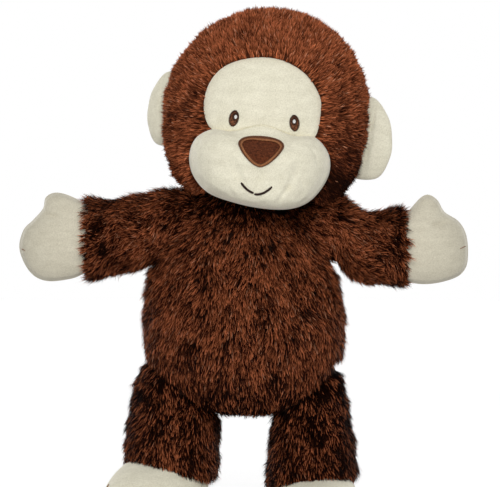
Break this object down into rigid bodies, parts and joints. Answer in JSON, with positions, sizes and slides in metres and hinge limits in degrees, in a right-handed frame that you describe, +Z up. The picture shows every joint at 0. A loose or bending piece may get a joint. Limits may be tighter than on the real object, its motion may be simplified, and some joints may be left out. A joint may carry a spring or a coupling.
{
  "type": "plush monkey",
  "caption": "Stuffed toy monkey with brown fur on body, head and limbs, cream velour face, ears, hands and feet, stitched eyes, nose and mouth, and limbs that swing at soft seams.",
  "frame": {"origin": "on the floor, under the middle of the toy's outer box", "axes": "+Z up, the toy faces -Y, and its own left side is +X"},
  "size_m": [0.258, 0.1186, 0.2986],
  "materials": {
    "fur": "clumped pile fur",
    "velour": "short-nap velour",
    "filling": "loose polyester fibre",
    "nose_cloth": "smooth knit",
    "brown_thread": "satin-stitched thread",
    "dark_thread": "twisted thread",
    "white_thread": "satin-stitched thread"
  },
  "bodies": {
    "torso": {"torso_back_panel": "fur", "torso_filling": "filling", "torso_front_panel": "fur"},
    "neck": {"neck_wad": "filling"},
    "head": {"brow_panel": "velour", "head_back_panel": "fur", "head_filling": "filling", "head_front_panel": "fur", "left_eye_glint": "white_thread", "left_eye_stitching": "brown_thread", "mouth_stitching": "dark_thread", "muzzle_filling": "filling", "muzzle_panel": "velour", "nose_border_stitching": "brown_thread", "nose_cloth": "nose_cloth", "right_eye_glint": "white_thread", "right_eye_stitching": "brown_thread"},
    "left_ear": {"left_ear_back": "velour", "left_ear_front": "velour"},
    "right_ear": {"right_ear_back": "velour", "right_ear_front": "velour"},
    "left_arm": {"left_arm_filling": "filling", "left_arm_sleeve": "fur", "left_hand_back": "velour", "left_hand_palm": "velour"},
    "right_arm": {"right_arm_filling": "filling", "right_arm_sleeve": "fur", "right_hand_back": "velour", "right_hand_palm": "velour"},
    "left_leg": {"left_foot_sole": "velour", "left_foot_upper": "velour", "left_leg_filling": "filling", "left_leg_sleeve": "fur"},
    "right_leg": {"right_foot_sole": "velour", "right_foot_upper": "velour", "right_leg_filling": "filling", "right_leg_sleeve": "fur"}
  },
  "joints": [
    {"name": "neck_turn", "type": "hinge", "parent": "torso", "child": "neck", "pos_m": [0, 0.01155, 0.182], "axis": [0, 0, 1], "range_deg": [-30, 30], "stiffness_Nm_per_rad": 0.2},
    {"name": "head_nod", "type": "hinge", "parent": "neck", "child": "head", "pos_m": [0, 0.01155, 0.182], "axis": [1, 0, 0], "range_deg": [-12, 12], "stiffness_Nm_per_rad": 0.4},
    {"name": "left_ear_fold", "type": "hinge", "parent": "head", "child": "left_ear", "pos_m": [0.0658, 0.01741, 0.22448], "axis": [0.0784, -0.0014, 0.9969], "range_deg": [-20, 20], "stiffness_Nm_per_rad": 0.02},
    {"name": "right_ear_fold", "type": "hinge", "parent": "head", "child": "right_ear", "pos_m": [-0.04401, 0.01932, 0.23914], "axis": [0.0784, -0.0014, 0.9969], "range_deg": [-20, 20], "stiffness_Nm_per_rad": 0.02},
    {"name": "left_shoulder", "type": "hinge", "parent": "torso", "child": "left_arm", "pos_m": [0.054, 0.01155, 0.166], "axis": [0, 1, 0], "range_deg": [-20, 35], "stiffness_Nm_per_rad": 0.2},
    {"name": "right_shoulder", "type": "hinge", "parent": "torso", "child": "right_arm", "pos_m": [-0.054, 0.01155, 0.166], "axis": [0, -1, 0], "range_deg": [-20, 35], "stiffness_Nm_per_rad": 0.2},
    {"name": "left_hip", "type": "hinge", "parent": "torso", "child": "left_leg", "pos_m": [0.0375, 0.01155, 0.077], "axis": [-1, 0, 0], "range_deg": [-15, 50], "stiffness_Nm_per_rad": 0.6},
    {"name": "right_hip", "type": "hinge", "parent": "torso", "child": "right_leg", "pos_m": [-0.0375, 0.01155, 0.077], "axis": [-1, 0, 0], "range_deg": [-15, 50], "stiffness_Nm_per_rad": 0.6}
  ]
}
